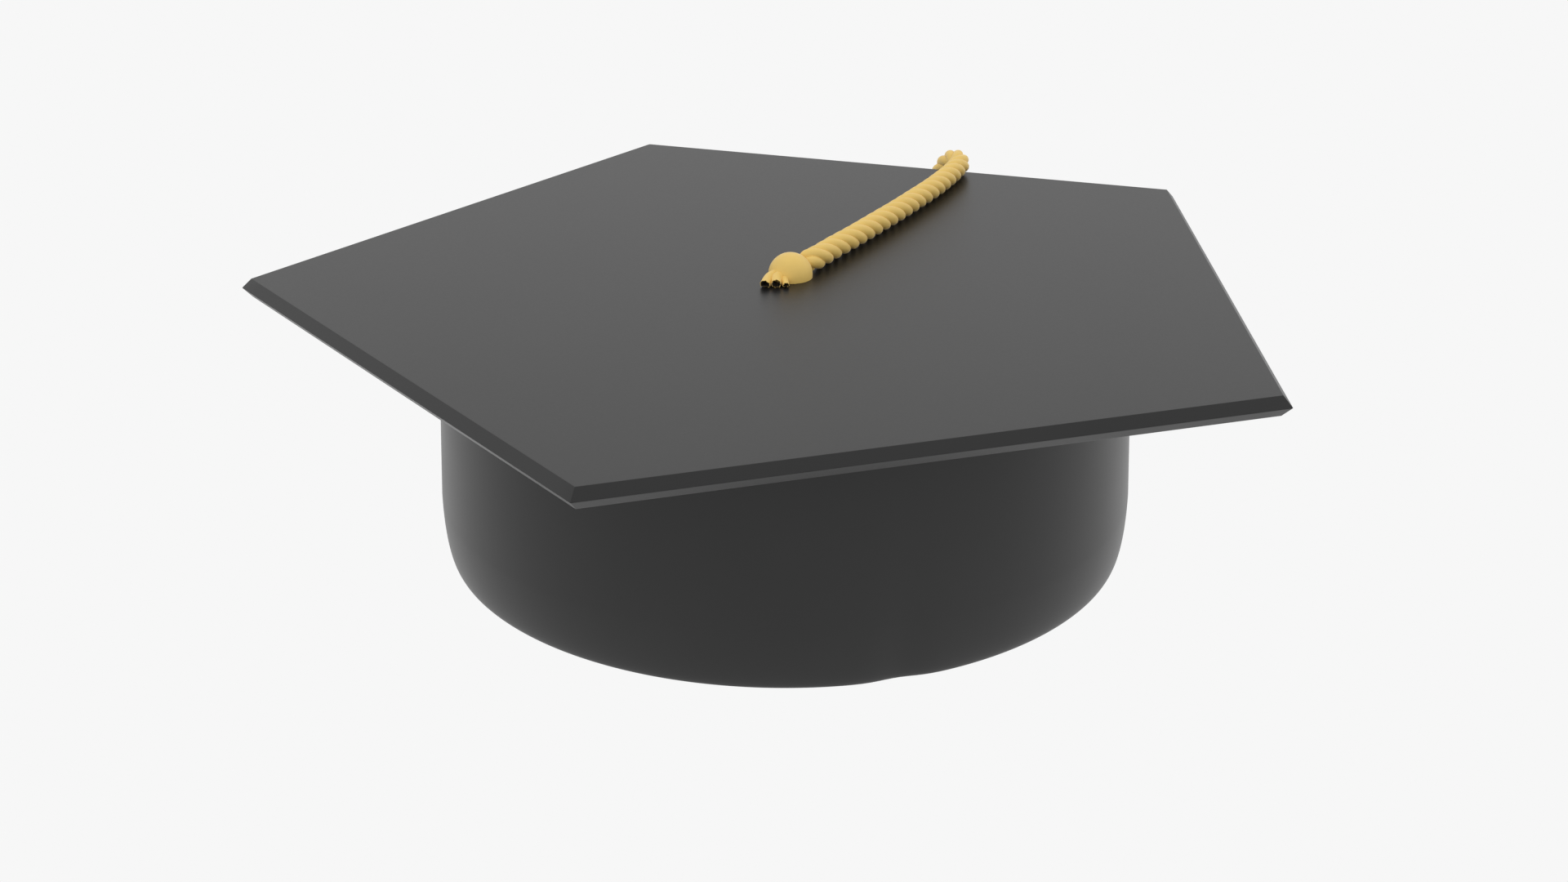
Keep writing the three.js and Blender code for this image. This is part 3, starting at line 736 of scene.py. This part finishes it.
def make_strand_end(number, facts, look):
    """A hollow sleeve, open and ragged at its tip, with its lower lip cut back."""
    dice = random.Random(number)
    base = np.array([BUTTON_X, BUTTON_Y, BOARD_TOP])
    line = even_steps(smooth_route(np.array(facts["axis"]) + base), STRAND_STEP)
    sides = 40
    shares = np.linspace(0, 1, len(line))
    ahead, side = carried_frames(line)
    over = np.cross(ahead, side)
    angles = np.linspace(0, 2 * math.pi, sides, endpoint=False)
    phase = dice.uniform(0, 6)
    ragged = RAGGED_COARSE * np.sin(7 * angles + phase)
    ragged += RAGGED_FINE * np.sin(12 * angles + 2 * phase)
    lower = 0.5 - 0.5 * np.cos(angles)
    reach = ragged * (0.4 + 0.6 * lower) - facts["cut"] * lower ** 1.5
    circle = side[:, None] * np.cos(angles)[:, None] + over[:, None] * np.sin(angles)[:, None]
    outer = facts["root"] + (facts["tip"] - facts["root"]) * shares
    spill = ahead[:, None] * reach[:, None] * (shares ** 1.6)[:, None, None]
    outside = line[:, None] + circle * outer[:, None, None] + spill
    inside = line[:, None] + circle * (outer - STRAND_WALL)[:, None, None] + spill
    outside[..., 2] = np.maximum(outside[..., 2], BOARD_TOP + STRAND_REST)
    inside[..., 2] = np.maximum(inside[..., 2], BOARD_TOP + STRAND_REST + 0.00006)
    rows = [*outside, *inside[::-1]]
    surface = Surface()
    across = np.linspace(0, 2 * math.pi * facts["tip"], sides + 1)
    steps_in = np.arange(len(rows) + 1) - len(outside)
    along = steps_in * STRAND_STEP + STRAND_INSIDE_MM / 1000
    surface.grid(rows, across, along, wrap=True, ring=True)
    piece = surface.build(f"strand_end_{number}", look, 60)
    return fit(piece, "button_and_cord", "gold_thread", f"tail_strand_{number}")


# ---------------------------------------------------------------- the tassel


def make_tassel_head(look):
    """A bead wound with upright threads, open on top round the knot."""
    columns = 4 * BEAD_RIDGES
    socket = KNOT_RADIUS + BEAD_GAP
    # radius and height of the face, from the knot's centre
    profile = [
        (0.0035, -0.0074), (0.0050, -0.0074), (0.0062, -0.0061), (0.0069, -0.0048),
        (0.0074, -0.0030), (0.0076, -0.0012), (0.0076, 0.0004), (0.0073, 0.0018),
        (0.0069, 0.0032), (0.0063, 0.0044), (0.0058, 0.0050), (0.0054, 0.0048),
    ]
    low = math.radians(-66)
    arc = np.linspace(math.acos(0.0050 / socket), low, 16)
    inner = [(socket * math.cos(a), socket * math.sin(a)) for a in arc]
    outline = np.array(profile + inner) + np.array([0, KNOT_CENTRE])

    def wound(angles, radii, heights):
        share = smooth_step(radii, 0.0052, 0.0066)
        groove = np.abs(np.cos(angles * BEAD_RIDGES / 2)) - 0.6
        return radii + BEAD_GROOVE * groove * share, heights

    surface = Surface()
    revolve(surface, outline, columns, (TASSEL_X, TASSEL_Y), shift=wound)
    piece = surface.build("tassel_bead", look, 60)
    return fit(piece, "tassel_head", "gold_thread", "tassel_head")


def make_knot(look):
    """The cord's end, wound into a ball."""
    columns = 96
    arc = np.linspace(math.radians(-86), math.radians(46), 30)
    outline = [(KNOT_RADIUS * math.cos(a), KNOT_CENTRE + KNOT_RADIUS * math.sin(a)) for a in arc]
    outline.append((0.001, outline[-1][1]))

    def twisted(angles, radii, heights):
        lean = (heights - KNOT_CENTRE) / KNOT_RADIUS
        groove = np.abs(np.cos(4 * angles + 2.2 * lean)) - 1
        return radii + KNOT_GROOVE * groove * smooth_step(radii, 0.0012, 0.003), heights

    surface = Surface()
    first = revolve(surface, outline, columns, (TASSEL_X, TASSEL_Y), ring=False, shift=twisted)
    surface.fan(first, columns, (TASSEL_X, TASSEL_Y, KNOT_LOW.z))
    last = first + columns * (len(outline) - 1)
    surface.fan(last, columns, (TASSEL_X, TASSEL_Y, outline[-1][1]))
    piece = surface.build("wound_knot", look, 60)
    return fit(piece, "hanging_cord", "gold_thread", "cord_end_knot")


def make_neck_wraps(look):
    """Thread wound round the neck, in turns that touch."""
    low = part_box("neck_binding")[0].z + WRAP_THREAD
    shares = np.linspace(0, 1, 48 * WRAP_TURNS + 1)
    angles = 2 * math.pi * WRAP_TURNS * shares
    heights = low + 2 * WRAP_THREAD * WRAP_TURNS * shares
    x, y = TASSEL_X + WRAP_RADIUS * np.cos(angles), TASSEL_Y + WRAP_RADIUS * np.sin(angles)
    surface = Surface()
    tube(surface, np.stack([x, y, heights], axis=1), WRAP_THREAD, 10)
    piece = surface.build("neck_wraps", look, 60)
    return fit(piece, "skirt", "gold_thread", "neck_binding")


def skirt_radius(below):
    """Radius of the bundle of threads at a distance below the pivot."""
    return np.interp(below, [0, 0.006, 0.0095, 0.017, 0.040, 0.078],
                     [0.0041, 0.0041, 0.0064, 0.0082, 0.0095, 0.0101])


def make_skirt(look):
    """Hanging threads in rings round a core, with slightly uneven ends."""
    dice = random.Random(7)
    surface = Surface()
    long = SKIRT_PIVOT - SKIRT_LOW.z
    for ring, count in THREAD_RINGS:
        for number in range(count):
            angle = 2 * math.pi * (number + dice.uniform(-0.2, 0.2)) / count
            end = long - dice.uniform(0.0, FRINGE_UNEVEN)
            below = np.linspace(FRINGE_START, end, 18)
            lean = dice.uniform(-0.05, 0.05)
            wave, phase = dice.uniform(0.0, 0.00018), dice.uniform(0, 6)
            turn = angle + lean * (below / long) ** 2 + 0.12 * below / long
            out = ring * (skirt_radius(below) - 0.0005) + wave * np.sin(90 * below * 2 + phase)
            x, y = TASSEL_X + out * np.cos(turn), TASSEL_Y + out * np.sin(turn)
            line = np.stack([x, y, SKIRT_PIVOT - below], axis=1)
            thick = FRINGE_THREAD * (1 + 0.12 * np.sin(260 * below + phase))
            tube(surface, line, thick, 6)
    piece = surface.build("fringe_threads", look, 80)
    return fit(piece, "skirt", "gold_thread", "tassel_skirt")


def make_skirt_neck(look):
    """The bundle's rounded top under the binding, and the core inside the threads."""
    columns = 96
    arc = np.linspace(math.radians(88), 0, 14)
    outline = [(NECK_RADIUS * math.cos(a), SKIRT_PIVOT + NECK_RADIUS * math.sin(a)) for a in arc]
    for below in np.linspace(0.001, FRINGE_CORE_END, 20):
        share = np.interp(below, [0.045, FRINGE_CORE_END], [0.93, 0.6])
        outline.append((skirt_radius(below) * share, SKIRT_PIVOT - below))

    def strands(angles, radii, heights):
        groove = np.abs(np.cos(16 * angles)) - 1
        share = smooth_step(radii, 0.001, 0.004)
        return radii + FRINGE_CORE_GROOVE * groove * share, heights

    surface = Surface()
    first = revolve(surface, outline, columns, (TASSEL_X, TASSEL_Y), ring=False, shift=strands)
    surface.fan(first, columns, (TASSEL_X, TASSEL_Y, SKIRT_PIVOT + NECK_RADIUS))
    last = first + columns * (len(outline) - 1)
    surface.fan(last, columns, (TASSEL_X, TASSEL_Y, outline[-1][1]))
    piece = surface.build("fringe_core", look, 60)
    return fit(piece, "skirt", "gold_thread")


# ---------------------------------------------------------------- the board


def board_loop(apothem, height, per_corner=6, per_side=26):
    """A level loop round the board, with slightly rounded corners."""
    rounding = min(CORNER_ROUND, apothem / 4)
    half = math.pi / BOARD_CORNERS
    arcs = []
    for number in range(BOARD_CORNERS):
        corner = math.pi / 2 + 2 * half * number
        centre = (apothem - rounding) / math.cos(half) * np.array([math.cos(corner), math.sin(corner)])
        turn = corner + np.linspace(-half, half, per_corner)
        arcs.append(centre + rounding * np.stack([np.cos(turn), np.sin(turn)], axis=1))
    points = []
    for number, arc in enumerate(arcs):
        start, end = arc[-1], arcs[(number + 1) % BOARD_CORNERS][0]
        shares = np.linspace(0, 1, per_side + 1)[1:-1, None]
        points += [*arc, *(start + (end - start) * shares)]
    return np.column_stack([points, np.full(len(points), height)])


def hole_loop(height, count):
    """The same number of points round the hole for the button's post."""
    angles = np.arange(count) / count * 2 * math.pi + EDGE_HEADING
    x = BUTTON_X + COVER_HOLE * np.cos(angles)
    y = BUTTON_Y + COVER_HOLE * np.sin(angles)
    return np.stack([x, y, np.full(count, height)], axis=1)


def make_board_cover(name, look, side, node):
    """One cover: the face and half of the edge. side is 1 for the top, -1 underneath."""
    half = (BOARD_TOP - BOARD_UNDER) / 2
    slope = BEVEL_WIDTH / half
    lip = BOARD_APOTHEM - slope * COVER_SEAM
    inner = half - COVER_THICKNESS
    face = BOARD_APOTHEM - BEVEL_WIDTH
    bevel = [(face + (lip - face) * s, half + (COVER_SEAM - half) * s) for s in (0, 0.14, 0.86, 1)]
    outline = rounded([
        (FACE_START, half),
        (face - CREASE_SUPPORT, half),
        *bevel,
        (lip - COVER_INSET, COVER_SEAM),
        (lip - COVER_INSET - slope * (inner - COVER_SEAM), inner),
        (FACE_START, inner),
    ], [0, 0, COVER_CREASE, 0, 0, LIP_CREASE, COVER_CREASE, COVER_CREASE, 0], 4, closed=False)
    loops = []
    for apothem, height in outline:
        loops.append(board_loop(apothem, BOARD_MIDDLE + side * height))
    count = len(loops[0])
    start = hole_loop(BOARD_MIDDLE + side * half, count)
    end = hole_loop(BOARD_MIDDLE + side * inner, count)
    first_face, last_face = loops[0], loops[-1]
    outward = [start + (first_face - start) * s for s in (0.0, 0.05, 0.2, 0.5)]
    inward = [last_face + (end - last_face) * s for s in (0.5, 0.8, 0.95, 1.0)]
    rows = np.array([*outward, *loops, *inward])
    surface = Surface()
    planar_grid(surface, rows)
    piece = surface.build(name, look, 30)
    return fit(piece, "cap", "board_cloth", node)


def planar_grid(surface, rows):
    """A closed band of loops, with surface coordinates taken from above."""
    count = rows.shape[1]
    first = len(surface.points)
    surface.points.extend(rows.reshape(-1, 3).tolist())
    for row in range(len(rows)):
        low, high = first + row * count, first + (row + 1) % len(rows) * count
        for column in range(count):
            beside = (column + 1) % count
            corners = (low + column, low + beside, high + beside, high + column)
            surface.faces.append(corners)
            surface.coordinates += [tuple(surface.points[c][:2]) for c in corners]


# ---------------------------------------------------------------- the crown


def wall_radius(height):
    """Outer radius of the crown's wall at a height above the rim."""
    height = np.asarray(height, float)
    share = (height - BELLY_HEIGHT) / (BOARD_UNDER - BELLY_HEIGHT)
    straight = BELLY_RADIUS + share * (TOP_RADIUS - BELLY_RADIUS)
    below = np.clip(1 - height / BELLY_HEIGHT, 0, 1)
    rolled = BELLY_RADIUS - CROWN_ROLL * (1 - np.sqrt(1 - below * below))
    return np.where(height >= BELLY_HEIGHT, straight, rolled)


def dented(angles, radii, heights):
    """Moves points of the wall in where the rim is dented."""
    away = (angles - DENT_ANGLE + math.pi) % (2 * math.pi) - math.pi
    bell = np.exp(-0.5 * (away / DENT_SPREAD) ** 2)
    fade = 1 - smooth_step(heights, 0.002, DENT_HEIGHT)
    near_wall = smooth_step(radii, 0.084, 0.088)
    return radii - DENT_DEPTH * bell * fade * near_wall, heights


ROLL_HEIGHTS = [BELLY_HEIGHT * (1 - math.sin(a)) for a in np.linspace(math.pi / 2, 0, 15)]


def wall_line(depth, low, high):
    """The wall's outline at one depth inside its face, from low to high."""
    inside = [h for h in [*ROLL_HEIGHTS, 0.03, 0.045, 0.058] if low < h < high]
    heights = np.array([low, *inside, high])
    return np.stack([wall_radius(heights) - depth, heights], axis=1)


def make_crown(look):
    """The outer cloth: a flange under the board, the wall, and a hem turned up inside."""
    hem_inner = HEM_DEPTH + HEM
    low = RIM_LOW
    outline = [
        *wall_line(0, low, CROWN_TOP),
        (FLANGE_INNER, CROWN_TOP),
        (FLANGE_INNER, CROWN_TOP - SHELL),
        *wall_line(SHELL, low + SHELL, CROWN_TOP - SHELL)[::-1],
        *wall_line(HEM_DEPTH, low + SHELL, HEM_HEIGHT),
        *wall_line(hem_inner, low + SHELL, HEM_HEIGHT)[::-1],
        (wall_radius(low) - hem_inner, low),
    ]
    surface = Surface()
    revolve(surface, rounded(outline, CROWN_CREASE, 3), 288, shift=dented)
    piece = surface.build("crown_cloth", look, 50)
    return fit(piece, "cap", "crown_cloth", "crown_shell")


def wall_band(surface, outline, middle, half, columns):
    """A stretch of a layer of the wall, closed at both ends. The outline is a list of
    (radius, height) points."""
    angles = np.linspace(middle - half, middle + half, columns)
    rows = []
    for radius, height in outline:
        radii, heights = dented(angles, np.full(columns, radius), np.full(columns, height))
        rows.append(np.stack([radii * np.cos(angles), radii * np.sin(angles), heights], axis=1))
    across = angles * BELLY_RADIUS
    first = surface.grid(rows, across, lengths_along([*outline, outline[0]]), ring=True)
    count = len(outline)
    surface.cap([first + row * columns for row in range(count)])
    surface.cap([first + row * columns + columns - 1 for row in range(count)][::-1])


def wall_layer(name, look, node, slot, depth, thickness):
    """A whole round of one layer of the wall."""
    low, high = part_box(node)[0].z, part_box(node)[1].z
    outline = [*wall_line(depth, low, high), *wall_line(depth + thickness, low, high)[::-1]]
    surface = Surface()
    revolve(surface, outline, 216, shift=dented)
    return fit(surface.build(name, look, 50), "cap", slot, node)


def make_top_lining(look):
    """A round of lining cloth under the board, gathered at its edge and a little slack."""
    low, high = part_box("crown_top_lining")
    radius, columns = high.x, 216
    under = [(r * radius, low.z) for r in (0.04, 0.15, 0.3, 0.45, 0.6, 0.75, 0.86, 0.94, 1.0)]
    over = [(r, high.z) for r, _ in under[::-1]]

    def slack(angles, radii, heights):
        share = radii / radius
        fade = share ** 6 * (1 - share ** 40)
        gathers = TOP_LINING_GATHER_HEIGHT * np.sin(TOP_LINING_GATHERS * angles) * fade
        pull = 0.0003 * np.sin(5 * angles + 1) * share ** 2 * (1 - share)
        return radii, heights - TOP_LINING_SAG * (1 - share ** 2) + gathers + pull

    surface = Surface()
    first = revolve(surface, [*under, *over], columns, ring=False, shift=slack)
    surface.fan(first, columns, (0, 0, low.z - TOP_LINING_SAG))
    last = first + columns * (len(under) + len(over) - 1)
    surface.fan(last, columns, (0, 0, high.z - TOP_LINING_SAG))
    piece = surface.build("top_lining_cloth", look, 50)
    return fit(piece, "cap", "lining_cloth", "crown_top_lining")


def make_sweatband(look, thread):
    """The band that rests on the brow, with a folded and stitched upper edge."""
    low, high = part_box("sweatband")[0].z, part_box("sweatband")[1].z
    fold = high - BAND_FOLD_HEIGHT
    outline = rounded([
        *wall_line(BAND_DEPTH, low, high),
        (wall_radius(high) - BAND_DEPTH - BAND_FOLD, high),
        (wall_radius(fold) - BAND_DEPTH - BAND_FOLD, fold),
        (wall_radius(fold) - BAND_DEPTH - BAND, fold - 0.0004),
        *wall_line(BAND_DEPTH + BAND, low, fold - 0.0012)[::-1],
    ], BAND_CREASE, 3)
    surface = Surface()
    half = math.pi - ELASTIC_HALF_ANGLE - 0.004
    wall_band(surface, outline, FRONT, half, 240)
    piece = fit(surface.build("sweatband_strip", look, 50), "cap", "sweatband_leather", "sweatband")
    rows = Surface()
    stitch_round(rows, BAND_DEPTH + BAND_FOLD, high - 0.0016, FRONT, half - 0.01)
    fit(rows.build("sweatband_stitches", thread, 60), "cap", "sweatband_leather")
    return piece


def stitch_round(surface, depth, height, middle, half):
    """A row of stitches round the inside of the wall, each sunk at its ends."""
    radius = float(wall_radius(height)) - depth
    count = int(2 * half * radius / BAND_STITCH_PITCH)
    for number in range(count):
        start = middle - half + 2 * half * (number + 0.18) / count
        end = middle - half + 2 * half * (number + 0.82) / count
        angles = np.linspace(start, end, 6)
        lift = np.array([-0.0002, 0.00008, 0.00018, 0.00018, 0.00008, -0.0002])
        radii, _ = dented(angles, radius - lift, np.full(6, height))
        line = np.stack([radii * np.cos(angles), radii * np.sin(angles), np.full(6, height)], axis=1)
        tube(surface, line, BAND_STITCH_THREAD, 6)


def make_elastic(look):
    """Ribbed webbing that closes the gap at the back of the band."""
    low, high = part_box("back_elastic")[0].z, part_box("back_elastic")[1].z
    heights = np.linspace(low, high, 61)
    rib = ELASTIC_RIB * np.sin(heights * 2 * math.pi / ELASTIC_RIB_PITCH)
    face = np.stack([wall_radius(heights) - BAND_DEPTH - ELASTIC - rib, heights], axis=1)
    back = np.stack([wall_radius(heights) - BAND_DEPTH, heights], axis=1)
    surface = Surface()
    wall_band(surface, [*back, *face[::-1]], BACK, ELASTIC_HALF_ANGLE - 0.012, 60)
    return fit(surface.build("elastic_webbing", look, 60), "cap", "elastic_web", "back_elastic")


def make_back_binding(look, thread):
    """A tape over the back seam, stitched along both edges."""
    low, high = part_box("back_seam_tape")[0].z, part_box("back_seam_tape")[1].z
    outline = [*wall_line(BAND_DEPTH, low, high), *wall_line(BAND_DEPTH + BINDING, low, high)[::-1]]
    surface = Surface()
    wall_band(surface, outline, BACK, BINDING_HALF_ANGLE, 14)
    piece = fit(surface.build("back_seam_binding", look, 50), "cap", "lining_cloth", "back_seam_tape")
    rows = Surface()
    for side in (-1, 1):
        angle = BACK + side * SEAM_STITCH_ANGLE
        heights = np.arange(low + 0.0012, high - 0.003, SEAM_STITCH_PITCH)
        for height in heights:
            ends = np.linspace(height, height + SEAM_STITCH_LENGTH, 5)
            lift = np.array([-0.0002, 0.00012, 0.00018, 0.00012, -0.0002])
            radii = wall_radius(ends) - BAND_DEPTH - BINDING - lift
            line = np.stack([radii * math.cos(angle), radii * math.sin(angle), ends], axis=1)
            tube(rows, line, SEAM_STITCH_THREAD, 6)
    fit(rows.build("back_seam_stitches", thread, 60), "cap", "lining_cloth")
    return piece


# ---------------------------------------------------------------- the whole cap


def paint(node, look):
    """Gives its material to a CAD node that is kept as it is."""
    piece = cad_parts[node]
    piece.data.materials.clear()
    piece.data.materials.append(look)


make_camera()
gold = gold_cord()
fringe = gold_fringe()
cord, cord_line = make_cord(gold)
make_studio()

knot = make_knot(gold)
bead = make_tassel_head(fringe)
wraps = make_neck_wraps(gold)
skirt = make_skirt(fringe)
core = make_skirt_neck(fringe)

cover_look = gold_cover()
make_button(cover_look)
strand_look = gold_strand_end()
for number, facts in enumerate(STRAND_ENDS, start=1):
    make_strand_end(number, facts, strand_look)

board = board_cloth()
top = make_board_cover("board_top_cloth", board, 1, "board_top_cover")
under = make_board_cover("board_under_cloth", board, -1, "board_underside_cover")
crown = make_crown(crown_cloth())
lining = lining_cloth()
stiff = buckram()
inner = wall_layer("lining_cloth", lining, "crown_lining", "lining_cloth", LINING_DEPTH, LINING)
wall_layer("crown_buckram", stiff, "crown_stiffener", "buckram", BUCKRAM_DEPTH, BUCKRAM)
ceiling = make_top_lining(lining)
thread = stitch_thread()
band = make_sweatband(band_leather(), thread)
elastic = make_elastic(elastic_web())
binding = make_back_binding(lining, thread)

paint("board_core", grey_board())
paint("crown_top_panel", stiff)
paint("crown_top_seam_tape", lining)
paint("board_eyelet", metal("eyelet_brass", (0.42, 0.28, 0.10), (0.62, 0.45, 0.18)))
steel = metal("pivot_steel", (0.32, 0.31, 0.30), (0.52, 0.51, 0.50))
for node in ("pivot_washer", "button_post", "post_push_nut"):
    paint(node, steel)
paint("cord_loop", gold)
